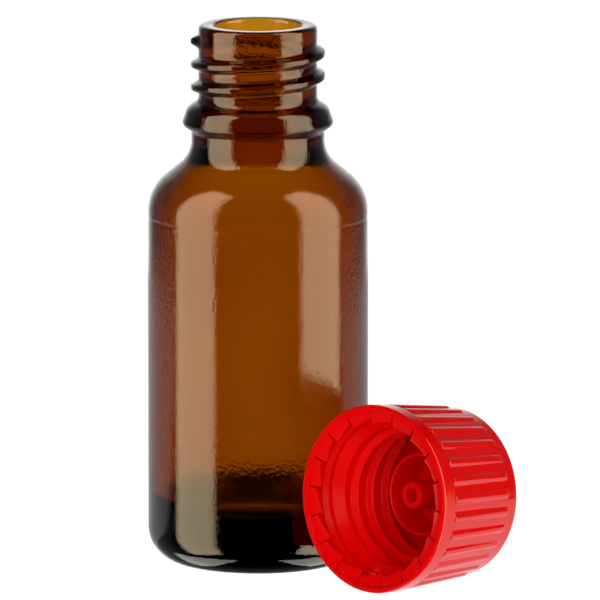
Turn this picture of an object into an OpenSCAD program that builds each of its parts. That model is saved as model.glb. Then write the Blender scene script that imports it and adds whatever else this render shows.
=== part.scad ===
// Amber glass dropper bottle with a tamper-evident screw closure lying open beside it.
// Origin: centre of the bottle's base. +Z runs up the bottle's axis.

/* [Bottle body] */
// Outer diameter of the glass body
body_d = 29; // [28.6:0.1:29.4]
// Height from the base to the rim
bottle_h = 71.4; // [70.8:0.1:73]
// Thickness of the side wall
wall_t = 2.0; // [1.5:0.1:2.2]
// Thickness of the glass under the cavity
base_t = 6.2; // [4:0.1:7]
// Width of the rounded heel
heel_w = 4.4; // [3.8:0.1:4.8]
// Height of the rounded heel
heel_h = 4.7; // [4:0.1:5.2]
// Rise of the push-up under the base
pushup_h = 1.0; // [0.6:0.1:1.4]

/* [Neck finish] */
// Bore of the mouth and neck
bore_d = 11.4; // [11:0.1:11.6]
// Outer diameter of the thread wall
finish_d = 15.66; // [15.5:0.02:15.8]
// Outer diameter over the glass thread
thread_d = 17.7; // [17.5:0.1:17.8]
// Axial distance of one thread turn
pitch = 3; // [2.9:0.05:3.1]
// Number of thread turns on the glass
thread_turns = 2.25; // [2.1:0.05:2.4]
// Depth of the thread's upper end below the rim
thread_top = 2.1; // [2:0.1:2.4]
// Outer diameter of the retaining bead
bead_d = 19.86; // [19.6:0.02:20]
// Outer diameter of the neck below the bead
neck_d = 17.56; // [17.4:0.02:17.8]

/* [Closure] */
// Outer diameter of the tamper-evident band
band_d = 24.6; // [24.4:0.1:24.8]
// Height of the tamper-evident band
band_h = 2.3; // [2.2:0.1:2.4]
// Overall height of the closure with its band
closure_h = 16.3; // [16.2:0.1:16.6]
// Diameter of the closed end
top_d = 22.2; // [21.8:0.1:22.6]
// Number of grip ribs
rib_count = 30; // [24:2:32]
// Number of retaining tabs inside the band
tab_count = 18; // [18:1:18]
// Number of break-away bridges between band and shell
bridge_count = 10; // [6:2:12]

/* [Resting place of the closure] */
// Mouth centre of the closure, along X from the bottle axis
mouth_x = 15; // [14.8:0.1:18]
// Mouth centre of the closure, along Y from the bottle axis
mouth_y = -23.6; // [-27:0.1:-23.4]
// Direction of the closure's axis in plan, from its mouth to its closed end
azimuth = 48.5; // [44:0.5:50]

/* [Hidden] */
TABS = [for (i = [1:tab_count]) str("retaining_tab_", i < 10 ? "0" : "", i)];

amber = [0.50, 0.27, 0.03, 0.75];
red = [0.86, 0.03, 0.04];
$fn = 96;
tiny = 0.02;

// Glass bottle, radii and depths below the rim
body_r = body_d / 2;
bore_r = bore_d / 2;
finish_r = finish_d / 2;
neck_r = neck_d / 2;
bead_r = bead_d / 2;
rim_round = 0.6;
shoulder_r = 6.3;
shoulder_depth = 24.8;
shoulder_angle = 51;
neck_fillet_r = 4;
bead_top_depth = 9.6;
bead_depth = 12.8;
bead_bottom_depth = 14.05;
cavity_r = body_r - wall_t;
cavity_shoulder_r = 5.2;
cavity_neck_r = 3.6;
cavity_floor_r = 3.6;
cavity_dome = 0.7;
standing_r = body_r - heel_w;
standing_w = 1.5;

// Thread ridges
thread_embed = 0.7;
thread_sink = 0.25;
glass_root_w = 1.0;
glass_crest_w = 0.2;
thread_end_angle = 192;
fade_angle = 20;
steps_per_turn = 40;

// Closure, lengths from its mouth and radii
band_r = band_d / 2;
band_wall_r = 11.45;
band_lip_r = 11.65;
band_lip_h = 0.25;
slit = 0.15;
shell_start = band_h + slit;
shell_r = band_r - 0.45;
top_r = top_d / 2;
top_round = 0.8;
panel_t = 1.3;
panel_depth = closure_h - panel_t;
collar_r = 10.3;
collar_mouth_r = 10.9;
collar_end = 3.7;
root_r = 9.1;
root_start = 5;
crest_r = 8.15;
closure_turns = 2.4;
closure_root_w = 0.6;
closure_crest_w = 0.15;
closure_thread_start = root_start + closure_root_w + 0.3;
seal_r = 5.55;
seal_wall = 0.55;
seal_tip = 9.4;
peg_tip = 7.6;
peg_r = 1.8;
peg_base_r = 2.05;
peg_hole_r = 0.95;
peg_hole_depth = 2.2;

// Grip ribs: round bars half sunk in the shell
rib_r = 0.72;
rib_end = 14.4;
rib_end_r = 11.4;

// Retaining tabs: hinged at their upper outer edge, saw-toothed inside
tab_hinge_r = 11.3;
tab_top = 1.15;
tab_bottom = 0.35;
tab_tip_r = 9.75;
tab_span = 19.2;
tab_first_angle = 12;
tab_short_r = 10.4;
tab_cut_x = 0.3;
tab_cut_y = 2.1;
tab_edge_t = 0.28;

// Break-away bridges
bridge_w = 0.5;
bridge_in_r = 11.55;
bridge_out_r = 11.8;

// The closure lies on its band's rear edge and on the ends of its ribs
lean = atan((band_r - rib_end_r) / (rib_end - band_h));
mouth_z = band_r * cos(lean) + band_h * sin(lean);

// Points on an arc from angle a0 to a1 round [x, y]
function arc(x, y, rx, ry, a0, a1, n) =
    [for (i = [0:n]) let (a = a0 + (a1 - a0) * i / n) [x + rx * cos(a), y + ry * sin(a)]];

// Height of a depth below the rim
function down(depth) = bottle_h - depth;

// Start and end heights of the cone between neck fillet and shoulder arc
cone_low_r = body_r - shoulder_r + shoulder_r * cos(shoulder_angle);
cone_low_depth = shoulder_depth - shoulder_r * sin(shoulder_angle);
cone_high_r = neck_r + neck_fillet_r * (1 - cos(shoulder_angle));
cone_high_depth = cone_low_depth - (cone_low_r - cone_high_r) / tan(shoulder_angle);
fillet_depth = cone_high_depth - neck_fillet_r * sin(shoulder_angle);

outer_outline = concat(
    [[0, pushup_h]],
    arc(0, pushup_h - 36, 36, 36, 87, 78.5, 4),
    [[standing_r - standing_w, 0]],
    arc(standing_r, heel_h, heel_w, heel_h, -90, 0, 14),
    arc(body_r - shoulder_r, down(shoulder_depth), shoulder_r, shoulder_r, 0, shoulder_angle, 12),
    arc(neck_r + neck_fillet_r, down(fillet_depth), neck_fillet_r, neck_fillet_r, 180 + shoulder_angle, 180, 8),
    [
        [neck_r, down(bead_bottom_depth)],
        [neck_r + 0.45, down(bead_bottom_depth - 0.34)],
        [bead_r - 0.16, down(bead_depth + 0.5)],
        [bead_r, down(bead_depth + 0.15)],
        [bead_r, down(bead_depth - 0.15)],
        [bead_r - 0.18, down(bead_depth - 0.6)],
        [bead_r - 0.33, down(bead_depth - 1.05)],
        [bead_r - 0.46, down(bead_depth - 1.5)],
        [bead_r - 0.72, down(bead_depth - 1.9)],
        [bead_r - 1.15, down(bead_depth - 2.3)],
        [finish_r + 0.3, down(bead_top_depth + 0.55)],
        [finish_r, down(bead_top_depth)]
    ],
    arc(finish_r - rim_round, down(rim_round), rim_round, rim_round, 0, 90, 6),
    [[0, bottle_h]]
);

// Cavity: flared under the bore, rounded at shoulder and floor
cavity_tangent = 48;
cavity_low_r = cavity_r - cavity_shoulder_r * (1 - cos(cavity_tangent));
cavity_low_z = down(shoulder_depth) + cavity_shoulder_r * sin(cavity_tangent);
cavity_high_r = bore_r + cavity_neck_r * (1 - cos(cavity_tangent));
cavity_high_z = cavity_low_z + (cavity_low_r - cavity_high_r) / tan(cavity_tangent);
cavity_bore_z = cavity_high_z + cavity_neck_r * sin(cavity_tangent);

cavity_outline = concat(
    [[0, base_t + cavity_dome], [cavity_r * 0.45, base_t + cavity_dome * 0.6]],
    arc(cavity_r - cavity_floor_r, base_t + cavity_floor_r, cavity_floor_r, cavity_floor_r, -80, 0, 10),
    arc(cavity_r - cavity_shoulder_r, down(shoulder_depth), cavity_shoulder_r, cavity_shoulder_r, 0,
        cavity_tangent, 10),
    arc(bore_r + cavity_neck_r, cavity_bore_z, cavity_neck_r, cavity_neck_r, 180 + cavity_tangent, 180, 8),
    [[0, cavity_bore_z]]
);

// Profile of a thread ridge, sunk in the root surface; a scale of 0 hides its crest in the wall
function ridge_profile(root, crest, root_w, crest_w, scale) =
    let (
        side = sign(crest - root),
        top = root + side * (abs(crest - root) * scale - thread_sink * (1 - scale)),
        base = root - side * thread_embed
    )
    [
        [base, -root_w],
        [base + (top - base) * 0.75, -(root_w + crest_w) * 0.47],
        [top, -crest_w],
        [top, crest_w],
        [base + (top - base) * 0.75, (root_w + crest_w) * 0.47],
        [base, root_w]
    ];

// Right-handed helical ridge climbing from z = 0 round the Z axis, fading in and out.
// It is turned by half a step, so that none of its sections lies on the round body's seam at angle 0.
module thread_ridge(root, crest, root_w, crest_w, turns) {
    steps = round(turns * steps_per_turn);
    sides = 6;
    turn_step = 360 * turns / steps;
    function fade(i) = min(1, min(i, steps - i) * turn_step / fade_angle);
    points = [
        for (i = [0:steps])
            let (angle = i * turn_step, section = ridge_profile(root, crest, root_w, crest_w, fade(i)))
            for (p = crest > root ? section : [for (k = [sides - 1:-1:0]) section[k]])
                [p[0] * cos(angle), p[0] * sin(angle), p[1] + pitch * angle / 360]
    ];
    walls = [
        for (i = [0:steps - 1], k = [0:sides - 1])
            let (a = i * sides + k, b = i * sides + (k + 1) % sides)
            each [[a, b, b + sides], [a, b + sides, a + sides]]
    ];
    first_cap = [for (k = [1:sides - 2]) [0, k + 1, k]];
    last = steps * sides;
    last_cap = [for (k = [1:sides - 2]) [last, last + k, last + k + 1]];
    rotate([0, 0, turn_step / 2]) polyhedron(points, concat(walls, first_cap, last_cap));
}

module glass_bottle() {
    color(amber) difference() {
        union() {
            rotate_extrude() polygon(outer_outline);
            translate([0, 0, down(thread_top) - pitch * thread_turns])
                rotate([0, 0, thread_end_angle - 360 * thread_turns])
                    thread_ridge(finish_r, thread_d / 2, glass_root_w, glass_crest_w, thread_turns);
        }
        rotate_extrude() polygon(cavity_outline);
        translate([0, 0, cavity_bore_z - tiny]) cylinder(r = bore_r, h = bottle_h - cavity_bore_z + 1);
    }
}

// Puts a piece drawn mouth-down on the Z axis where the closure lies
module in_closure() {
    translate([mouth_x, mouth_y, mouth_z]) rotate([0, 90 + lean, azimuth]) children();
}

shell_outline = concat(
    [[collar_mouth_r, shell_start], [shell_r, shell_start]],
    arc(top_r - top_round, closure_h - top_round, top_round, top_round, 0, 90, 6),
    [
        [0, closure_h],
        [0, panel_depth],
        [seal_r - seal_wall, panel_depth],
        [seal_r - seal_wall + 0.05, seal_tip + 0.25],
        [seal_r - seal_wall / 2, seal_tip],
        [seal_r - 0.05, seal_tip + 0.25],
        [seal_r, panel_depth],
        [root_r, panel_depth],
        [root_r, root_start],
        [collar_r, collar_end],
        [collar_r, shell_start + 0.6]
    ]
);

module grip_rib() {
    slope = atan((band_r - rib_end_r) / (rib_end - shell_start));
    bar_length = (rib_end - shell_start - rib_r) / cos(slope);
    intersection() {
        translate([band_r - rib_r, 0, shell_start]) rotate([0, -slope, 0]) union() {
            translate([0, 0, -rib_r]) cylinder(r = rib_r, h = bar_length + rib_r, $fn = 32);
            translate([0, 0, bar_length]) sphere(r = rib_r, $fn = 32);
        }
        translate([top_r - 1.6, -1, shell_start]) cube([4, 2, closure_h]);
    }
}

module centre_peg() {
    difference() {
        translate([0, 0, peg_tip]) cylinder(r1 = peg_r, r2 = peg_base_r, h = panel_depth - peg_tip + tiny);
        translate([0, 0, peg_tip - tiny]) cylinder(r = peg_hole_r, h = peg_hole_depth);
    }
}

module closure_shell() {
    color(red) in_closure() union() {
        rotate_extrude() polygon(shell_outline);
        centre_peg();
        for (i = [0:rib_count - 1]) rotate([0, 0, 360 * i / rib_count]) grip_rib();
        translate([0, 0, closure_thread_start])
            thread_ridge(root_r, crest_r, closure_root_w, closure_crest_w, closure_turns);
    }
}

module tamper_band() {
    color(red) in_closure() rotate_extrude() polygon(concat(
        arc(band_r - 0.3, 0.3, 0.3, 0.3, -90, 0, 5),
        [
            [band_r, band_h - 0.1],
            [band_r - 0.1, band_h],
            [band_wall_r, band_h],
            [band_wall_r, band_lip_h],
            [band_lip_r, 0]
        ]
    ));
}

module break_bridges() {
    color(red) in_closure() for (i = [0:bridge_count - 1]) rotate([0, 0, 360 * i / bridge_count + 6])
        translate([bridge_in_r, -bridge_w / 2, band_h]) cube([bridge_out_r - bridge_in_r, bridge_w, slit]);
}

// One tab: a wedge with a lead-in ramp towards the mouth, tallest at its first end
module retaining_tab(index) {
    start_angle = tab_first_angle + 360 * (index - 1) / tab_count;
    color(red) in_closure() rotate([0, 0, start_angle]) difference() {
        rotate_extrude(angle = tab_span) polygon([
            [tab_hinge_r, tab_bottom],
            [tab_hinge_r, tab_top],
            [tab_tip_r, tab_top],
            [tab_tip_r, tab_top - tab_edge_t],
            [tab_hinge_r - 0.35, tab_bottom]
        ]);
        rotate([0, 0, tab_span]) translate([tab_cut_x, tab_cut_y, 0])
            cylinder(r = norm([tab_short_r - tab_cut_x, tab_cut_y]), h = band_h);
    }
}

glass_bottle();
closure_shell();
tamper_band();
break_bridges();
for (i = [1:tab_count]) retaining_tab(i);
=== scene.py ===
"""Amber glass bottle with its red tamper-evident screw closure lying open beside it.
Lengths are in millimetres until a mesh is made, and in metres in the scene."""

import math

import bpy
import numpy as np
from mathutils import Matrix, Vector


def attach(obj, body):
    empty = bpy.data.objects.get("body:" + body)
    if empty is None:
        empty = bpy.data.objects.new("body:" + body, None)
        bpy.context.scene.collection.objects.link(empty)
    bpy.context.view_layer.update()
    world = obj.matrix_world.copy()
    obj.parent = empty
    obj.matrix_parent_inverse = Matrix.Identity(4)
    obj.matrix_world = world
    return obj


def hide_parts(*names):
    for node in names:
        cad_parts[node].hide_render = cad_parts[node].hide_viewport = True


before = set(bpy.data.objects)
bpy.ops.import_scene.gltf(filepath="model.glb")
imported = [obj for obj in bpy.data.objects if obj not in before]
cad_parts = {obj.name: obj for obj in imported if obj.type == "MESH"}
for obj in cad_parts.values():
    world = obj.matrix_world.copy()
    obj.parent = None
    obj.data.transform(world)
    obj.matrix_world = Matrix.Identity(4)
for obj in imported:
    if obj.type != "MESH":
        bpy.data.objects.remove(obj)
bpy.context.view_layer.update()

MM = 0.001
# A radius under this is on the axis
AXIS_R = 1e-6

# Bottle: radii, and depths below the rim
BODY_R = 14.5
BOTTLE_H = 71.4
BORE_R = 5.7
FINISH_R = 7.83
THREAD_R = 8.85
PITCH = 3.0
THREAD_TURNS = 2.25
THREAD_TOP = 2.1
THREAD_TOP_ANGLE = 196.5
THREAD_FADE = 20
THREAD_FOOT = 1.05
THREAD_CREST = 0.22
NECK_R = 8.78
RIM_ROUND = 0.6
RIM_INNER_ROUND = 0.55
SHOULDER_R = 6.3
SHOULDER_DEPTH = 24.8
SHOULDER_ANGLE = 51
NECK_FILLET_R = 4.0
HEEL_W = 4.4
HEEL_H = 4.7
STANDING_R = BODY_R - HEEL_W
CREASE_DEPTH = 25.6
CREASE_H = 0.05
CREASE_W = 0.24
RING_DEPTHS = (14.6, 16.4)
RING_STEP = 0.5
RING_H = 0.012
FINE_DEPTHS = ((14.5, 16.6), (24.6, 26.8))
FINISH_DEPTH = 10.4
RIM_CLEAR = 0.7
WALL_DEPTH = 14.1
SEAM_H = 0.02
SEAM_W = 0.35
CREASE_WANDER = 0.12
WALL_SINK = 0.022
WALL_UNEVEN = 0.006
CAVITY_UNEVEN = 0.07
CAVITY_UNEVEN_DEPTH = 14
CAVITY_UNEVEN_FADE = 8
PUSHUP_H = 1.0
CAVITY_R = 12.5
CAVITY_SHOULDER_R = 5.2
CAVITY_NECK_R = 3.6
CAVITY_TANGENT = 48
CAVITY_FLOOR_R = 3.6
CAVITY_FLOOR_Z = 6.2
CAVITY_DOME = 0.7

# The bead's outline as points read off a measured outline: radius, and depth below the rim
BEAD_OUTLINE = (
    (8.78, 14.5),
    (8.83, 14.1),
    (9.23, 13.71),
    (9.72, 13.33),
    (9.91, 12.98),
    (9.91, 12.65),
    (9.75, 12.2),
    (9.6, 11.75),
    (9.44, 11.3),
    (9.18, 10.9),
    (8.72, 10.5),
    (8.12, 10.13),
    (7.84, 9.62),
    (7.83, 9.2),
)

# Spacing of the bottle's mesh: columns round it, and steps along its outline
BOTTLE_COLUMNS = 240
COARSE_STEP = 1.2
PLAIN_STEP = 1.3
MARKED_STEP = 0.08
FINISH_STEP = 0.09

# Closure: radii, and lengths from its mouth
MOUTH = (15.0, -23.6)
AZIMUTH = 48.5
BAND_R = 12.3
BAND_H = 2.3
BAND_WALL_R = 11.45
BAND_LIP_R = 11.65
BAND_LIP_H = 0.25
SHELL_START = 2.45
SHELL_R = 11.85
CLOSURE_H = 16.3
TOP_R = 11.1
TOP_ROUND = 0.8
PANEL_DEPTH = 15.0
COLLAR_R = 10.3
COLLAR_MOUTH_R = 10.9
COLLAR_END = 3.7
ROOT_R = 9.1
ROOT_START = 5.0
CREST_R = 8.15
CLOSURE_TURNS = 2.4
CLOSURE_THREAD_START = 5.9
CLOSURE_THREAD_ANGLE = 4.5
CLOSURE_THREAD_FOOT = 0.58
CLOSURE_THREAD_CREST = 0.04
SEAL_R = 5.55
SEAL_WALL = 0.55
SEAL_TIP = 9.4
PEG_TIP = 7.6
PEG_R = 1.8
PEG_BASE_R = 2.05
PEG_HOLE_R = 0.95
PEG_HOLE_DEPTH = 2.2
RIB_COUNT = 30
RIB_R = 0.72
RIB_END = 14.4
RIB_END_R = 11.4
RIB_BLEND = 0.05
SHELL_EDGE = 0.12
SHELL_COLUMNS = 600
SHELL_STEP = 0.9
SHELL_END_STEP = 1.2
SHELL_THREAD_STEP = 0.1
BAND_COLUMNS = 300
TAB_COUNT = 18
TAB_ROOT_R = 11.43
TAB_RAMP_R = 10.95
TAB_TOP = 1.15
TAB_BOTTOM = 0.35
TAB_TIP_R = 9.75
TAB_SPAN = 18.9
TAB_TRIM = 0.15
TAB_FIRST_ANGLE = 12
TAB_SHORT_R = 10.4
TAB_CUT = (0.3, 2.1)
TAB_EDGE_T = 0.28
TAB_RAMP_TAPER = 0.2
TAB_STEPS = 12
TAB_BEVEL = 0.05
BRIDGE_COUNT = 10
BRIDGE_FIRST_ANGLE = 6
BRIDGE_R = 11.72
BRIDGE_SIDES = 8

LEAN = math.degrees(math.atan((BAND_R - RIB_END_R) / (RIB_END - BAND_H)))
MOUTH_Z = BAND_R * math.cos(math.radians(LEAN)) + BAND_H * math.sin(math.radians(LEAN))
CLOSURE_PLACE = (
    Matrix.Translation((MOUTH[0], MOUTH[1], MOUTH_Z))
    @ Matrix.Rotation(math.radians(AZIMUTH), 4, "Z")
    @ Matrix.Rotation(math.radians(90 + LEAN), 4, "Y")
)


def arc(x, y, rx, ry, start, end, steps):
    """Points on an arc round [x, y], its angles in degrees."""
    angles = np.radians(np.linspace(start, end, steps + 1))
    return np.column_stack([x + rx * np.cos(angles), y + ry * np.sin(angles)])


def joined(*paths):
    """One polyline from several, without repeated points."""
    points = np.vstack([np.atleast_2d(np.array(p, float)) for p in paths])
    keep = np.r_[True, np.linalg.norm(np.diff(points, axis=0), axis=1) > 1e-6]
    return points[keep]


def dense(points, step):
    """The polyline with every span split so that none is longer than step."""
    out = [points[0]]
    for a, b in zip(points[:-1], points[1:]):
        count = max(1, math.ceil(np.linalg.norm(b - a) / step))
        out += [a + (b - a) * k / count for k in range(1, count + 1)]
    return np.array(out)


def spline(points, steps):
    """A Catmull-Rom curve through the points."""
    p = np.array(points, float)
    p = np.vstack([2 * p[0] - p[1], p, 2 * p[-1] - p[-2]])
    out = []
    for i in range(1, len(p) - 2):
        for k in range(steps):
            t = k / steps
            out.append(
                0.5
                * (
                    2 * p[i]
                    + (p[i + 1] - p[i - 1]) * t
                    + (2 * p[i - 1] - 5 * p[i] + 4 * p[i + 1] - p[i + 2]) * t**2
                    + (3 * p[i] - p[i - 1] - 3 * p[i + 1] + p[i + 2]) * t**3
                )
            )
    return np.array(out + [p[-2]])


def rounded(corners, steps=4, closed=False, support=0.5):
    """A polyline through corners (x, y, radius), each rounded to its radius,
    with support points beside each arc."""
    out = []
    count = len(corners)
    for i, (x, y, radius) in enumerate(corners):
        p = np.array([x, y], float)
        if radius <= 0 or (not closed and i in (0, count - 1)):
            out.append(p)
            continue
        before = np.array(corners[i - 1][:2], float) - p
        after = np.array(corners[(i + 1) % count][:2], float) - p
        room = min(np.linalg.norm(before), np.linalg.norm(after)) * 0.48
        before, after = before / np.linalg.norm(before), after / np.linalg.norm(after)
        half = math.acos(max(-1, min(1, float(before @ after)))) / 2
        tangent = min(radius / math.tan(half), room)
        radius = tangent * math.tan(half)
        middle = before + after
        centre = p + middle / np.linalg.norm(middle) * radius / math.sin(half)
        first, last = p + before * tangent - centre, p + after * tangent - centre
        a0, a1 = math.atan2(first[1], first[0]), math.atan2(last[1], last[0])
        turn = (a1 - a0 + math.pi) % (2 * math.pi) - math.pi
        side = min(tangent * (1 + support), room / 0.48 * 0.5)
        out.append(p + before * side)
        for k in range(steps + 1):
            a = a0 + turn * k / steps
            out.append(centre + radius * np.array([math.cos(a), math.sin(a)]))
        out.append(p + after * side)
    return joined(out)


def smoothstep(t):
    """Goes from 0 to 1 with t, level at both ends."""
    t = np.clip(t, 0, 1)
    return t * t * (3 - 2 * t)


def smooth_max(a, b, k):
    """The larger of a and b, blended where they differ by less than k."""
    h = np.clip(0.5 + 0.5 * (a - b) / k, 0, 1)
    return b * (1 - h) + a * h + k * h * (1 - h)


def waves(angle, height, seed, count=9, turns=7, rate=0.35):
    """A smooth irregular field round a surface of revolution, about -1 to 1."""
    rng = np.random.default_rng(seed)
    total = 0
    for _ in range(count):
        m, q, phase = rng.integers(0, turns), rng.normal(0, rate), rng.uniform(0, 2 * math.pi)
        total = total + np.sin(m * angle + q * height + phase)
    return total / math.sqrt(count)


def ridge(angle_deg, height, start, start_angle, turns, fade, foot, crest):
    """Height, 0 to 1, of a right-handed helical ridge with its lower end at start and start_angle.
    Foot and crest are its half widths, and each end rises over fade degrees."""
    best = np.zeros(np.broadcast(angle_deg, height).shape)
    first = np.mod(angle_deg - start_angle, 360)
    for k in range(-1, math.ceil(turns) + 1):
        turned = first + 360 * k
        along = np.clip(turned, 0, 360 * turns)
        off = np.abs(height - (start + PITCH * along / 360))
        ends = np.minimum(along, 360 * turns - along) / fade
        beyond = np.abs(turned - along) / fade
        shape = smoothstep((foot - off) / (foot - crest))
        best = np.maximum(best, shape * smoothstep(ends) * (beyond < 1e-6))
    return best


def add_mesh(name, vertices, faces, place=None):
    """A smooth-shaded mesh object from millimetre vertices."""
    mesh = bpy.data.meshes.new(name)
    co = np.asarray(vertices, float) * MM
    if place is not None:
        turn = np.array(place.to_3x3())
        co = co @ turn.T + np.array(place.translation) * MM
    mesh.from_pydata(co.tolist(), [], faces)
    mesh.validate()
    mesh.polygons.foreach_set("use_smooth", [True] * len(mesh.polygons))
    mesh.update()
    obj = bpy.data.objects.new(name, mesh)
    bpy.context.scene.collection.objects.link(obj)
    return obj


def band_faces(lower, upper):
    """Faces between two rings of vertex numbers. They have as many points as each other,
    or one has half as many as the other, or one is a pole."""
    n, m = len(lower), len(upper)
    if m == 1:
        return [(lower[i], lower[(i + 1) % n], upper[0]) for i in range(n)]
    if n == 1:
        return [(lower[0], upper[(i + 1) % m], upper[i]) for i in range(m)]
    if n == m:
        return [(lower[i], lower[(i + 1) % n], upper[(i + 1) % n], upper[i]) for i in range(n)]
    if n == 2 * m:
        out = []
        for i in range(m):
            a, b, c = lower[2 * i], lower[2 * i + 1], lower[(2 * i + 2) % n]
            out += [(a, b, upper[i]), (b, c, upper[(i + 1) % m], upper[i])]
        return out
    if 2 * n == m:
        return [tuple(reversed(face)) for face in band_faces(upper, lower)]
    raise ValueError("rings don't match")


def rings_mesh(name, rings, closed=False, place=None):
    """A mesh from rings, each an array of points; a ring of one point is a pole."""
    vertices = np.vstack(rings)
    starts = np.cumsum([0] + [len(r) for r in rings])
    numbers = [list(range(starts[i], starts[i + 1])) for i in range(len(rings))]
    faces = []
    following = numbers[1:] + numbers[:1] if closed else numbers[1:]
    for a, b in zip(numbers, following):
        faces += band_faces(a, b)
    return add_mesh(name, vertices, faces, place)


def ring(radius, height, angles):
    """One ring of points at angles in radians; radius may be an array."""
    if np.isscalar(radius) and radius < AXIS_R:
        return np.array([[0.0, 0.0, height]])
    r = np.broadcast_to(radius, angles.shape)
    h = np.broadcast_to(height, angles.shape)
    return np.column_stack([r * np.cos(angles), r * np.sin(angles), h])


# ---------------------------------------------------------------- bottle


def down(depth):
    """The height at a depth below the rim, or the depth at a height."""
    return BOTTLE_H - depth


def bottle_outer():
    """Outer outline from the middle of the base to the rim's crown."""
    tangent = math.radians(SHOULDER_ANGLE)
    low_r = BODY_R - SHOULDER_R * (1 - math.cos(tangent))
    low_depth = SHOULDER_DEPTH - SHOULDER_R * math.sin(tangent)
    high_r = NECK_R + NECK_FILLET_R * (1 - math.cos(tangent))
    high_depth = low_depth - (low_r - high_r) / math.tan(tangent)
    fillet_depth = high_depth - NECK_FILLET_R * math.sin(tangent)
    base = spline([(0, PUSHUP_H), (2.6, 0.93), (5.2, 0.62), (7.0, 0.3), (8.0, 0.07), (8.7, 0.0)], 5)
    heel = arc(STANDING_R, HEEL_H, HEEL_W, HEEL_H, -90, 0, 26)
    wall = [(BODY_R, HEEL_H), (BODY_R, down(SHOULDER_DEPTH))]
    shoulder = arc(BODY_R - SHOULDER_R, down(SHOULDER_DEPTH), SHOULDER_R, SHOULDER_R, 0, SHOULDER_ANGLE, 26)
    fillet = arc(
        NECK_R + NECK_FILLET_R,
        down(fillet_depth),
        NECK_FILLET_R,
        NECK_FILLET_R,
        180 + SHOULDER_ANGLE,
        180,
        18,
    )
    bead = spline([(r, down(depth)) for r, depth in BEAD_OUTLINE], 4)
    rim = arc(FINISH_R - RIM_ROUND, down(RIM_ROUND), RIM_ROUND, RIM_ROUND, 0, 90, 8)
    return joined(base, heel, wall, shoulder, fillet, bead, [(FINISH_R, down(RIM_ROUND))], rim)


def bottle_inner():
    """Inner outline from the rim's crown to the middle of the cavity's floor."""
    tangent = math.radians(CAVITY_TANGENT)
    low_r = CAVITY_R - CAVITY_SHOULDER_R * (1 - math.cos(tangent))
    low_z = down(SHOULDER_DEPTH) + CAVITY_SHOULDER_R * math.sin(tangent)
    high_r = BORE_R + CAVITY_NECK_R * (1 - math.cos(tangent))
    high_z = low_z + (low_r - high_r) / math.tan(tangent)
    bore_z = high_z + CAVITY_NECK_R * math.sin(tangent)
    mouth = arc(
        BORE_R + RIM_INNER_ROUND, down(RIM_INNER_ROUND), RIM_INNER_ROUND, RIM_INNER_ROUND, 90, 180, 8
    )
    neck = arc(BORE_R + CAVITY_NECK_R, bore_z, CAVITY_NECK_R, CAVITY_NECK_R, 180, 180 + CAVITY_TANGENT, 16)
    shoulder = arc(
        CAVITY_R - CAVITY_SHOULDER_R,
        down(SHOULDER_DEPTH),
        CAVITY_SHOULDER_R,
        CAVITY_SHOULDER_R,
        CAVITY_TANGENT,
        0,
        22,
    )
    corner = arc(
        CAVITY_R - CAVITY_FLOOR_R, CAVITY_FLOOR_Z + CAVITY_FLOOR_R, CAVITY_FLOOR_R, CAVITY_FLOOR_R, 0, -80, 20
    )
    floor_points = [
        tuple(corner[-1]),
        (CAVITY_R * 0.45, CAVITY_FLOOR_Z + CAVITY_DOME * 0.6),
        (CAVITY_R * 0.2, CAVITY_FLOOR_Z + CAVITY_DOME * 0.93),
        (0, CAVITY_FLOOR_Z + CAVITY_DOME),
    ]
    return joined(mouth, neck, shoulder, corner, spline(floor_points, 8))


def bottle_angles(count):
    """Angles round the bottle, closer together at the two mould seams."""
    even = np.arange(count) * 360 / count
    seams = [a + d for a in (0, 180) for d in (-0.9, -0.6, -0.3, 0.3, 0.6, 0.9)]
    return np.radians(np.unique(np.round(np.mod(np.r_[even, seams], 360), 6)))


def bottle_path():
    """The outer outline, with points close together where the surface has detail."""
    outer = dense(bottle_outer(), COARSE_STEP)
    finish = (outer[:, 1] > down(FINISH_DEPTH)) & (outer[:, 0] > 1)
    fine = dense(outer[finish], FINISH_STEP)
    lower = dense(outer[~finish & (outer[:, 1] <= down(FINISH_DEPTH))], COARSE_STEP)
    parts = []
    for a, b in zip(lower[:-1], lower[1:]):
        middle = (a[1] + b[1]) / 2
        marked = a[0] > 1 and any(down(end) < middle < down(start) for start, end in FINE_DEPTHS)
        parts.append(dense(np.array([a, b]), MARKED_STEP if marked else PLAIN_STEP))
    return joined(*parts, fine)


def finish_radius(r, z, angles):
    """Radius of the neck's finish at height z, with its thread."""
    start = down(THREAD_TOP) - PITCH * THREAD_TURNS
    start_angle = THREAD_TOP_ANGLE - 360 * THREAD_TURNS
    degrees = np.degrees(angles)
    climb = ridge(degrees, z, start, start_angle, THREAD_TURNS, THREAD_FADE, THREAD_FOOT, THREAD_CREST)
    return np.where(climb > 0, np.maximum(r, FINISH_R + (THREAD_R - FINISH_R) * climb), r)


def wall_radius(r, z, angles):
    """Radius of the wall under the bead at height z, with its mould seams, slight unevenness,
    shoulder crease and faint rings."""
    depth = down(z)
    from_seam = np.mod(np.degrees(angles), 180)
    from_seam = np.minimum(from_seam, 180 - from_seam)
    seam = SEAM_H * np.exp(-((from_seam / SEAM_W) ** 2))
    from_crease = depth - CREASE_DEPTH - CREASE_WANDER * waves(angles, 0, 3)
    crease = CREASE_H * np.exp(-((from_crease / CREASE_W) ** 2))
    radius = r + seam - WALL_SINK + WALL_UNEVEN * waves(angles, z, 11) - crease
    if RING_DEPTHS[0] < depth < RING_DEPTHS[1]:
        swell = math.sin(math.pi * (depth - RING_DEPTHS[0]) / (RING_DEPTHS[1] - RING_DEPTHS[0]))
        radius = radius - RING_H * swell * (1 + math.sin(2 * math.pi * depth / RING_STEP))
    return radius


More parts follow.
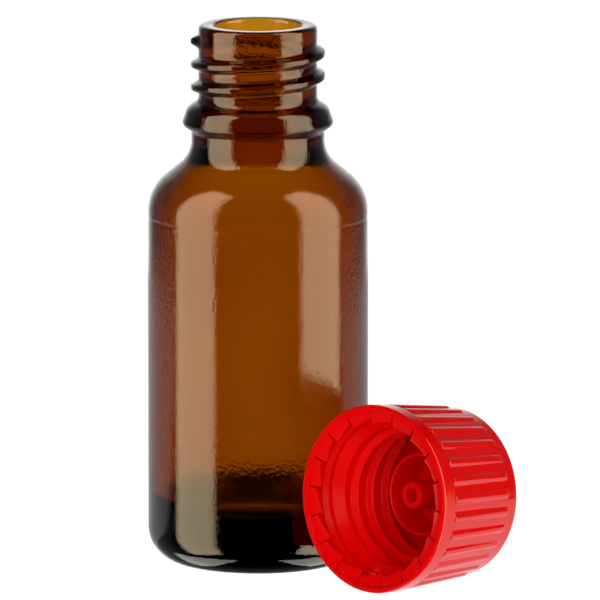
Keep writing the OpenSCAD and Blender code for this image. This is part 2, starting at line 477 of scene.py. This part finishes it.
def make_bottle():
    angles = bottle_angles(BOTTLE_COLUMNS)
    rings = []
    for r, z in bottle_path():
        radius = r
        if down(FINISH_DEPTH) < z < down(RIM_CLEAR) and r > 7.5:
            radius = finish_radius(r, z, angles)
        elif HEEL_H < z < down(WALL_DEPTH):
            radius = wall_radius(r, z, angles)
        rings.append(ring(radius, z, angles))
    for r, z in dense(bottle_inner(), COARSE_STEP)[1:]:
        radius = r
        if r >= AXIS_R:
            fade = smoothstep((down(CAVITY_UNEVEN_DEPTH) - z) / CAVITY_UNEVEN_FADE)
            fade = fade * smoothstep(z / CAVITY_UNEVEN_FADE)
            radius = r + CAVITY_UNEVEN * fade * waves(angles, z, 5, turns=5, rate=0.22)
        rings.append(ring(radius, z, angles))
    return rings_mesh("amber_glass_bottle", rings)


# ---------------------------------------------------------------- closure


def shell_radius(s):
    """Outer radius of the shell between its ribs, at length s from the mouth."""
    end = CLOSURE_H - TOP_ROUND
    return SHELL_R + (TOP_R - SHELL_R) * np.clip((s - SHELL_START) / (end - SHELL_START), 0, 1)


def ribbed_radius(s, degrees):
    """Outer radius with the ribs, at length s."""
    base = shell_radius(s)
    rib_pitch = 360 / RIB_COUNT
    off = np.radians(np.mod(degrees + rib_pitch / 2, rib_pitch) - rib_pitch / 2)
    top = BAND_R + (RIB_END_R - BAND_R) * (s - SHELL_START) / (RIB_END - SHELL_START)
    across = np.abs(off) * (top - RIB_R)
    into_end = max(0.0, s - (RIB_END - RIB_R))
    size = math.sqrt(max(RIB_R**2 - into_end**2, 0))
    if size <= 0:
        return np.full(degrees.shape, base)
    bar = top - RIB_R - base + np.sqrt(np.maximum(size**2 - across**2, 0))
    bar = np.where(across < size, bar, -1.0)
    return base + np.maximum(smooth_max(bar, 0.0, RIB_BLEND), 0)


def closure_end():
    """Outline of the end face from its middle: moulding mark, shallow recess and edge."""
    return rounded(
        [
            (0, CLOSURE_H - 0.28, 0),
            (0.7, CLOSURE_H - 0.28, 0.06),
            (0.75, CLOSURE_H - 0.12, 0.05),
            (1.9, CLOSURE_H - 0.12, 0.1),
            (2.1, CLOSURE_H - 0.02, 0.1),
            (8.6, CLOSURE_H - 0.02, 0.2),
            (8.75, CLOSURE_H, 0.2),
            (TOP_R - TOP_ROUND, CLOSURE_H, 0),
        ]
    )


def closure_inside():
    """Outline of the inside, from the shell's open edge over collar, thread, seal and peg to the axis."""
    return rounded(
        [
            (SHELL_R - 0.3, SHELL_START, 0),
            (COLLAR_MOUTH_R, SHELL_START, 0.08),
            (COLLAR_R, SHELL_START + 0.6, 0.15),
            (COLLAR_R, COLLAR_END, 0.25),
            (ROOT_R, ROOT_START, 0.35),
            (ROOT_R, PANEL_DEPTH, 0.35),
            (SEAL_R, PANEL_DEPTH, 0.25),
            (SEAL_R - 0.05, SEAL_TIP + 0.2, 0.12),
            (SEAL_R - SEAL_WALL / 2, SEAL_TIP, 0.1),
            (SEAL_R - SEAL_WALL + 0.05, SEAL_TIP + 0.2, 0.12),
            (SEAL_R - SEAL_WALL, PANEL_DEPTH, 0.3),
            (PEG_BASE_R + 0.35, PANEL_DEPTH, 0.25),
            (PEG_BASE_R + 0.3, PANEL_DEPTH - 0.55, 0.12),
            (PEG_BASE_R, PANEL_DEPTH - 0.6, 0.12),
            (PEG_R + 0.06, PEG_TIP + 1.0, 0.1),
            (PEG_R, PEG_TIP, 0.62),
            (PEG_HOLE_R, PEG_TIP, 0.1),
            (PEG_HOLE_R - 0.06, PEG_TIP + PEG_HOLE_DEPTH, 0.2),
            (0, PEG_TIP + PEG_HOLE_DEPTH, 0),
        ]
    )


def closure_inside_path():
    """The inside's outline, with points close together along the thread."""
    path = dense(closure_inside(), SHELL_STEP)
    r, s = path[:, 0], path[:, 1]
    threaded = (r > ROOT_R - 0.05) & (s > ROOT_START - 0.4) & (s < PANEL_DEPTH - 0.4)
    index = np.nonzero(threaded)[0]
    first, after = index[0], index[-1] + 1
    return np.vstack([path[:first], dense(path[first:after], SHELL_THREAD_STEP), path[after:]])


def inside_radius(r, s, degrees):
    """Radius of the inside at length s, with the closure's thread."""
    if r <= ROOT_R - 0.1 or not ROOT_START - 0.5 < s < PANEL_DEPTH - 0.3:
        return r
    climb = ridge(
        degrees,
        s,
        CLOSURE_THREAD_START,
        CLOSURE_THREAD_ANGLE,
        CLOSURE_TURNS,
        THREAD_FADE,
        CLOSURE_THREAD_FOOT,
        CLOSURE_THREAD_CREST,
    )
    return r - (ROOT_R - CREST_R) * climb


def make_shell():
    # the ribbed wall has twice as many columns as the smooth end and inside
    fine = np.radians(np.arange(SHELL_COLUMNS) * (360 / SHELL_COLUMNS))
    coarse = fine[::2]
    fine_deg, coarse_deg = np.degrees(fine), np.degrees(coarse)
    rings = [ring(r, s, coarse) for r, s in dense(closure_end(), SHELL_END_STEP)]
    crown = arc(TOP_R - TOP_ROUND, CLOSURE_H - TOP_ROUND, TOP_ROUND, TOP_ROUND, 90, 0, 10)
    rings += [ring(r, s, coarse) for r, s in crown[1:]]
    stations = np.r_[
        np.linspace(15.4, RIB_END + 0.1, 5),
        np.linspace(RIB_END, RIB_END - RIB_R, 12),
        np.linspace(RIB_END - RIB_R - 0.5, SHELL_START + 0.6, 16),
        SHELL_START + 0.3,
        SHELL_START + SHELL_EDGE,
    ]
    rings += [ring(ribbed_radius(s, fine_deg), s, fine) for s in stations]
    outer_edge = ribbed_radius(SHELL_START, fine_deg)
    for a in np.radians([30, 60, 90]):
        radius = outer_edge - SHELL_EDGE * (1 - math.cos(a))
        rings.append(ring(radius, SHELL_START + SHELL_EDGE * (1 - math.sin(a)), fine))
    inside = closure_inside_path()
    rings.append(ring(inside[0][0], inside[0][1], fine))
    rings += [ring(inside_radius(r, s, coarse_deg), s, coarse) for r, s in inside[1:]]
    return rings_mesh("ribbed_closure_shell", rings, place=CLOSURE_PLACE)


def make_band():
    angles = np.radians(np.arange(BAND_COLUMNS) * (360 / BAND_COLUMNS))
    corners = [
        (BAND_R, 0.0, 0.3),
        (BAND_R, BAND_H, 0.12),
        (BAND_WALL_R, BAND_H, 0.06),
        (BAND_WALL_R, BAND_LIP_H + 0.05, 0.05),
        (BAND_LIP_R, BAND_LIP_H, 0.05),
        (BAND_LIP_R, 0.0, 0.07),
    ]
    path = rounded(corners, steps=5, closed=True, support=0.4)
    rings = [ring(r, s, angles) for r, s in path]
    return rings_mesh("tamper_evident_band", rings, closed=True, place=CLOSURE_PLACE)


def tab_inner_radius(off):
    """Inner radius of a tab, off degrees before its short end."""
    along = TAB_CUT[0] * math.cos(math.radians(-off)) + TAB_CUT[1] * math.sin(math.radians(-off))
    cut_r = math.hypot(TAB_SHORT_R - TAB_CUT[0], TAB_CUT[1])
    return along + math.sqrt(along**2 - TAB_CUT[0] ** 2 - TAB_CUT[1] ** 2 + cut_r**2)


def make_tab(index):
    start = TAB_FIRST_ANGLE + TAB_TRIM + 360 * (index - 1) / TAB_COUNT
    ramp_rise = TAB_TOP - TAB_EDGE_T - TAB_BOTTOM
    rings = []
    for i in range(TAB_STEPS + 1):
        t = i / TAB_STEPS
        angle = math.radians(start + TAB_SPAN * t)
        inner = max(tab_inner_radius(TAB_SPAN * (1 - t) + TAB_TRIM), TAB_TIP_R)
        ramp_out = TAB_RAMP_R - TAB_RAMP_TAPER * t
        edge_s = TAB_BOTTOM + ramp_rise * (ramp_out - inner) / (TAB_RAMP_R - TAB_TIP_R)
        section = [
            (TAB_ROOT_R, TAB_BOTTOM),
            (TAB_ROOT_R, TAB_TOP),
            (inner, TAB_TOP),
            (inner, edge_s),
            (ramp_out, TAB_BOTTOM),
        ]
        rings.append([(r * math.cos(angle), r * math.sin(angle), s) for r, s in section])
    count = len(rings[0])
    vertices = np.array(rings).reshape(-1, 3)
    last = TAB_STEPS * count
    faces = [tuple(range(count)), tuple(reversed(range(last, last + count)))]
    for i in range(TAB_STEPS):
        for k in range(count):
            a, b = i * count + k, i * count + (k + 1) % count
            faces.append((a, a + count, b + count, b))
    obj = add_mesh(f"retaining_tab_wedge_{index:02d}", vertices, faces, CLOSURE_PLACE)
    bevel = obj.modifiers.new("edges", "BEVEL")
    bevel.width = TAB_BEVEL * MM
    bevel.segments = 2
    bevel.limit_method = "ANGLE"
    bevel.angle_limit = math.radians(35)
    bevel.harden_normals = True
    return obj


def make_bridges():
    """Thin break-away pins across the slit between the band and the shell."""
    vertices, faces = [], []
    # length from the mouth, width, and half depth
    levels = [
        (BAND_H, 0.62, 0.20),
        (BAND_H + 0.05, 0.44, 0.13),
        (BAND_H + 0.1, 0.44, 0.13),
        (SHELL_START, 0.66, 0.22),
    ]
    for i in range(BRIDGE_COUNT):
        middle = math.radians(360 * i / BRIDGE_COUNT + BRIDGE_FIRST_ANGLE)
        first = len(vertices)
        for s, width, depth in levels:
            for k in range(BRIDGE_SIDES):
                a = 2 * math.pi * k / BRIDGE_SIDES
                r, across = BRIDGE_R + depth * math.cos(a), width / 2 * math.sin(a)
                vertices.append(
                    (
                        r * math.cos(middle) - across * math.sin(middle),
                        r * math.sin(middle) + across * math.cos(middle),
                        s,
                    )
                )
        for level in range(len(levels) - 1):
            row = first + level * BRIDGE_SIDES
            for k in range(BRIDGE_SIDES):
                a, b = row + k, row + (k + 1) % BRIDGE_SIDES
                faces.append((a, b, b + BRIDGE_SIDES, a + BRIDGE_SIDES))
        faces.append(tuple(reversed(range(first, first + BRIDGE_SIDES))))
        last = first + (len(levels) - 1) * BRIDGE_SIDES
        faces.append(tuple(range(last, last + BRIDGE_SIDES)))
    return add_mesh("break_away_bridges", vertices, faces, CLOSURE_PLACE)


# ---------------------------------------------------------------- materials


def new_material(name):
    material = bpy.data.materials.new(name)
    material.use_nodes = True
    tree = material.node_tree
    return material, tree, tree.nodes["Principled BSDF"]


def noise_bump(tree, shader, scale, detail, strength, distance):
    """Give the shader a fine noise bump, and return its coordinates node."""
    coordinates = tree.nodes.new("ShaderNodeTexCoord")
    noise = tree.nodes.new("ShaderNodeTexNoise")
    noise.inputs["Scale"].default_value = scale
    noise.inputs["Detail"].default_value = detail
    bump = tree.nodes.new("ShaderNodeBump")
    bump.inputs["Strength"].default_value = strength
    bump.inputs["Distance"].default_value = distance
    tree.links.new(coordinates.outputs["Object"], noise.inputs["Vector"])
    tree.links.new(noise.outputs["Fac"], bump.inputs["Height"])
    tree.links.new(bump.outputs["Normal"], shader.inputs["Normal"])
    return coordinates


GLASS_IOR = 1.52
# Colour and strength per metre of the glass's absorption
GLASS_COLOUR = (0.835, 0.66, 0.0, 1)
GLASS_DENSITY = 2290
PLASTIC_IOR = 1.49
PLASTIC_REDS = ((0.62, 0.0002, 0.0006, 1), (0.72, 0.0006, 0.0012, 1))
PLASTIC_ROUGHNESS = (0.08, 0.14)
PLASTIC_CLOUD_SCALE = 120


def glass_material():
    material, tree, shader = new_material("amber_glass")
    shader.inputs["Base Color"].default_value = (1, 1, 1, 1)
    shader.inputs["Roughness"].default_value = 0.0
    shader.inputs["IOR"].default_value = GLASS_IOR
    shader.inputs["Transmission Weight"].default_value = 1.0
    noise_bump(tree, shader, scale=2400, detail=2.0, strength=1.0, distance=0.00003)
    absorb = tree.nodes.new("ShaderNodeVolumeAbsorption")
    absorb.inputs["Color"].default_value = GLASS_COLOUR
    absorb.inputs["Density"].default_value = GLASS_DENSITY
    tree.links.new(absorb.outputs["Volume"], tree.nodes["Material Output"].inputs["Volume"])
    return material


def plastic_material():
    material, tree, shader = new_material("red_moulded_plastic")
    shader.inputs["IOR"].default_value = PLASTIC_IOR
    shader.inputs["Specular IOR Level"].default_value = 0.5
    coordinates = noise_bump(tree, shader, scale=900, detail=3, strength=0.12, distance=0.00004)
    cloud = tree.nodes.new("ShaderNodeTexNoise")
    cloud.inputs["Scale"].default_value = PLASTIC_CLOUD_SCALE
    cloud.inputs["Detail"].default_value = 3
    tree.links.new(coordinates.outputs["Object"], cloud.inputs["Vector"])
    tint = tree.nodes.new("ShaderNodeValToRGB")
    tint.color_ramp.elements[0].color, tint.color_ramp.elements[1].color = PLASTIC_REDS
    tree.links.new(cloud.outputs["Fac"], tint.inputs["Fac"])
    tree.links.new(tint.outputs["Color"], shader.inputs["Base Color"])
    rough = tree.nodes.new("ShaderNodeMapRange")
    rough.inputs["To Min"].default_value, rough.inputs["To Max"].default_value = PLASTIC_ROUGHNESS
    tree.links.new(cloud.outputs["Fac"], rough.inputs["Value"])
    tree.links.new(rough.outputs["Result"], shader.inputs["Roughness"])
    return material


# ---------------------------------------------------------------- pieces

glass = glass_material()
plastic = plastic_material()


def finish_piece(obj, material, slot, body, *nodes):
    obj.data.materials.append(material)
    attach(obj, body)
    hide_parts(*nodes)
    return obj


bottle = finish_piece(make_bottle(), glass, "glass", "bottle", "glass_bottle")
bottle.visible_shadow = False
closure_pieces = [
    finish_piece(make_shell(), plastic, "closure_plastic", "closure", "closure_shell"),
    finish_piece(make_bridges(), plastic, "closure_plastic", "closure", "break_bridges"),
    finish_piece(make_band(), plastic, "closure_plastic", "band", "tamper_band"),
]
for number in range(1, TAB_COUNT + 1):
    wedge = make_tab(number)
    finish_piece(wedge, plastic, "closure_plastic", f"tab_{number:02d}", f"retaining_tab_{number:02d}")
    closure_pieces.append(wedge)

# ---------------------------------------------------------------- floor, lights, camera


def emission_material(name, colour, strength, diffuse_share=0.0):
    """A material that glows by itself, with a share of matt white."""
    material = bpy.data.materials.new(name)
    material.use_nodes = True
    tree = material.node_tree
    tree.nodes.clear()
    out = tree.nodes.new("ShaderNodeOutputMaterial")
    glow = tree.nodes.new("ShaderNodeEmission")
    glow.inputs["Color"].default_value = (*colour, 1)
    glow.inputs["Strength"].default_value = strength
    matt = tree.nodes.new("ShaderNodeBsdfDiffuse")
    matt.inputs["Color"].default_value = (0.9, 0.9, 0.9, 1)
    mix = tree.nodes.new("ShaderNodeMixShader")
    mix.inputs["Fac"].default_value = diffuse_share
    tree.links.new(glow.outputs["Emission"], mix.inputs[1])
    tree.links.new(matt.outputs["BSDF"], mix.inputs[2])
    tree.links.new(mix.outputs["Shader"], out.inputs["Surface"])
    return material


def flat(name, x0, x1, y0, y1, material):
    """A level rectangle at z = 0, its sides in metres."""
    return stage_mesh(name, [(x0, y0, 0), (x1, y0, 0), (x1, y1, 0), (x0, y1, 0)], [(0, 1, 2, 3)], material)


def sector(name, r0, r1, start, end, material, pointed=False, steps=16):
    """A level piece of ring round the bottle; 0 degrees is the camera's side and 90 is to its right.
    A pointed one narrows to nothing at both ends."""
    points = []
    for i in range(steps + 1):
        a = math.radians(start + (end - start) * i / steps)
        inner = r1 - (r1 - r0) * math.sin(math.pi * i / steps) if pointed else r0
        points += [(r * math.sin(a), -r * math.cos(a), 0) for r in (inner, r1)]
    faces = [(2 * i, 2 * i + 2, 2 * i + 3, 2 * i + 1) for i in range(steps)]
    return stage_mesh(name, points, faces, material)


def stage_mesh(name, points, faces, material):
    """A mesh in metres that belongs to the stage and not to the object."""
    mesh = bpy.data.meshes.new(name)
    mesh.from_pydata(points, [], faces)
    mesh.materials.append(material)
    obj = bpy.data.objects.new(name, mesh)
    bpy.context.scene.collection.objects.link(obj)
    return obj


# Half the floor's side, the part of it near the closure (x0, x1, y0, y1), and how far it lies down
FLOOR = 6.0
NEAR = (0.016, 0.11, -0.03, 0.11)
FLOOR_Z = -0.0001
FLOOR_STRENGTH = 1.16
FLOOR_MATT = 0.1
# How far the shade goes behind the bottle, and how wide it is in body radii
SHADE_LENGTH = 0.062
SHADE_WIDTH = 1.5
SHADE_MATT = 0.02
# Glowing pieces of ring that paint highlights seen only in reflections: radii, degrees from the camera's
# side, colour and strength
HEEL_RING = (0.0125, 0.015)
HEEL_SPAN = (12, 66)
HEEL_HIGHLIGHT_COLOUR = (1, 0.97, 0.88)
HEEL_HIGHLIGHT_STRENGTH = 2.6
SIDE_RING = (0.016, 0.235)
SIDE_SPAN = (96, 172)
SIDE_HIGHLIGHT_COLOUR = (1, 0.97, 0.97)
SIDE_HIGHLIGHT_STRENGTH = 0.55

floor_white = emission_material("pale_floor", (1, 1, 1), FLOOR_STRENGTH, FLOOR_MATT)
painted_shadow_material = emission_material("shade_under_bottle", (0, 0, 0), 0.0, SHADE_MATT)
floor_parts = [
    flat("floor_front", -FLOOR, FLOOR, -FLOOR, NEAR[2], floor_white),
    flat("floor_back", -FLOOR, FLOOR, NEAR[3], FLOOR, floor_white),
    flat("floor_left", -FLOOR, NEAR[0], NEAR[2], NEAR[3], floor_white),
    flat("floor_right", NEAR[1], FLOOR, NEAR[2], NEAR[3], floor_white),
]
near_floor = flat("floor_near_closure", *NEAR, floor_white)
for part in floor_parts:
    part.visible_glossy = False
for part in floor_parts + [near_floor]:
    part.location.z = FLOOR_Z
    part.visible_shadow = False
# Painted highlights: glowing patches, hidden from the camera, that the heel mirrors on either side of the
# front, then that the body's sides mirror
painted_heel_highlight = emission_material("painted_heel_highlight", HEEL_HIGHLIGHT_COLOUR, HEEL_HIGHLIGHT_STRENGTH)
painted_side_highlight = emission_material("painted_side_highlight", SIDE_HIGHLIGHT_COLOUR, SIDE_HIGHLIGHT_STRENGTH)
for glow in (
    sector("painted_heel_highlight_left", *HEEL_RING, -HEEL_SPAN[1], -HEEL_SPAN[0], painted_heel_highlight, pointed=True),
    sector("painted_heel_highlight_right", *HEEL_RING, *HEEL_SPAN, painted_heel_highlight, pointed=True),
    sector("painted_side_highlight_left", *SIDE_RING, -SIDE_SPAN[1], -SIDE_SPAN[0], painted_side_highlight),
    sector("painted_side_highlight_right", *SIDE_RING, *SIDE_SPAN, painted_side_highlight),
):
    glow.location.z = FLOOR_Z / 4
    glow.visible_camera = False
    glow.visible_transmission = False
    glow.visible_diffuse = False
    glow.visible_shadow = False
# A dark sheet of painted shadow under and behind the bottle, seen only through its glass
half = BODY_R * MM
shade = flat("painted_shadow_under_bottle", -SHADE_WIDTH * half, SHADE_WIDTH * half, -half, SHADE_LENGTH, painted_shadow_material)
shade.location.z = FLOOR_Z / 2
shade.visible_camera = False
shade.visible_glossy = False
shade.visible_shadow = False
shade.visible_diffuse = False


def panel(name, azimuth, elevation, distance, width, height, radiance, colour=(1, 1, 1), level=False):
    """A soft area light facing the object; azimuth 0 is the camera's side and 90 is to its right.
    A level one stands upright, with its middle above the object."""
    data = bpy.data.lights.new(name, "AREA")
    data.shape = "RECTANGLE"
    data.size, data.size_y = width, height
    data.energy = radiance * math.pi * width * height
    data.color = colour
    obj = bpy.data.objects.new(name, data)
    a, e = math.radians(azimuth), math.radians(elevation)
    away = Vector((math.sin(a) * math.cos(e), -math.cos(a) * math.cos(e), math.sin(e)))
    obj.location = LIT_POINT + away * distance
    facing = Vector((away.x, away.y, 0)) if level else away
    obj.rotation_mode = "QUATERNION"
    obj.rotation_quaternion = (-facing).to_track_quat("-Z", "Y")
    bpy.context.scene.collection.objects.link(obj)
    return obj


def lit_group(name, pieces):
    """A collection of the pieces that a light shines on."""
    group = bpy.data.collections.new(name)
    for piece in pieces:
        group.objects.link(piece)
    return group


LIT_POINT = Vector((0.003, -0.005, 0.03))
WARM = (1.0, 0.8, 0.5)
SOFTBOX = dict(elevation=28, distance=0.68, width=0.53, height=1.9, radiance=4.8, colour=WARM, level=True)
SOFTBOX_AZIMUTH = 70.5
for name, azimuth in (("softbox_left", -SOFTBOX_AZIMUTH), ("softbox_right", SOFTBOX_AZIMUTH)):
    softbox = panel(name, azimuth, **SOFTBOX)
    softbox.visible_diffuse = False
    if name == "softbox_left":
        softbox.light_linking.receiver_collection = lit_group("bottle_lit", [bottle])
# Lights of the closure alone: azimuth, elevation and radiance
FILLS = {"fill_front": (8, 14, 4.8), "fill_mouth": (-32, 8, 1.6), "fill_top": (60, 50, 2.0)}
FILL_DISTANCE = 0.7
FILL_SIZE = 0.5
closure_lit = lit_group("closure_lit", closure_pieces)
for name, (azimuth, elevation, radiance) in FILLS.items():
    fill = panel(name, azimuth, elevation, FILL_DISTANCE, FILL_SIZE, FILL_SIZE, radiance)
    fill.visible_transmission = False
    fill.visible_glossy = False
    fill.light_linking.receiver_collection = closure_lit

# Grey of the backdrop in reflections and through glass, from the camera's side (0) to the far side (1)
BACKDROP_STOPS = ((0.52, 0.0), (0.58, 0.02), (0.9, 0.14), (0.965, 0.6))
# It falls from the first strength to the second between these heights of a direction
BACKDROP_HEIGHTS = (0.48, 0.6)
BACKDROP_STRENGTHS = (1.4, 0.03)


def make_world():
    """A backdrop that is white to the camera and graded for every other ray."""
    world = bpy.data.worlds.new("studio")
    world.use_nodes = True
    bpy.context.scene.world = world
    nodes, links = world.node_tree.nodes, world.node_tree.links
    nodes.clear()
    out = nodes.new("ShaderNodeOutputWorld")
    seen = nodes.new("ShaderNodeBackground")
    seen.inputs["Color"].default_value = (1, 1, 1, 1)
    lit = nodes.new("ShaderNodeBackground")
    direction = nodes.new("ShaderNodeTexCoord")
    split = nodes.new("ShaderNodeSeparateXYZ")
    links.new(direction.outputs["Generated"], split.inputs["Vector"])
    ramp = nodes.new("ShaderNodeValToRGB")
    remap = nodes.new("ShaderNodeMapRange")
    remap.inputs["From Min"].default_value = -1
    remap.inputs["From Max"].default_value = 1
    links.new(split.outputs["Y"], remap.inputs["Value"])
    links.new(remap.outputs["Result"], ramp.inputs["Fac"])
    stops = ramp.color_ramp.elements
    stops[0].position, stops[0].color = 0.0, (0.0, 0.0, 0.0, 1)
    stops[1].position, stops[1].color = 1.0, (1.0, 1.0, 1.0, 1)
    for position, level in BACKDROP_STOPS:
        stop = stops.new(position)
        stop.color = (level, level, level, 1)
    links.new(ramp.outputs["Color"], lit.inputs["Color"])
    low = nodes.new("ShaderNodeMapRange")
    low.inputs["From Min"].default_value, low.inputs["From Max"].default_value = BACKDROP_HEIGHTS
    low.inputs["To Min"].default_value, low.inputs["To Max"].default_value = BACKDROP_STRENGTHS
    links.new(split.outputs["Z"], low.inputs["Value"])
    links.new(low.outputs["Result"], lit.inputs["Strength"])
    path = nodes.new("ShaderNodeLightPath")
    mix = nodes.new("ShaderNodeMixShader")
    links.new(path.outputs["Is Camera Ray"], mix.inputs["Fac"])
    links.new(lit.outputs["Background"], mix.inputs[1])
    links.new(seen.outputs["Background"], mix.inputs[2])
    links.new(mix.outputs["Shader"], out.inputs["Surface"])


CAMERA_DISTANCE = 1.5
CAMERA_ELEVATION = 9.6425
CAMERA_LENS = 682.954
SENSOR_WIDTH = 36
# Where the camera aims: x, and height
AIM = (0.0055332, 0.0347)


def make_camera():
    elevation = math.radians(CAMERA_ELEVATION)
    data = bpy.data.cameras.new("camera")
    data.sensor_width = SENSOR_WIDTH
    data.lens = CAMERA_LENS
    data.clip_start, data.clip_end = 0.05, 50
    camera = bpy.data.objects.new("camera", data)
    back, up = CAMERA_DISTANCE * math.cos(elevation), CAMERA_DISTANCE * math.sin(elevation)
    camera.location = (AIM[0], -back, AIM[1] + up)
    camera.rotation_euler = (math.pi / 2 - elevation, 0, 0)
    bpy.context.scene.collection.objects.link(camera)
    return camera


make_world()
scene = bpy.context.scene
scene.camera = make_camera()

scene.view_settings.view_transform = "Standard"
scene.view_settings.look = "None"
scene.cycles.use_denoising = True
scene.cycles.max_bounces = 24
scene.cycles.diffuse_bounces = 6
scene.cycles.glossy_bounces = 12
scene.cycles.transmission_bounces = 24
scene.cycles.caustics_refractive = False
scene.cycles.caustics_reflective = False
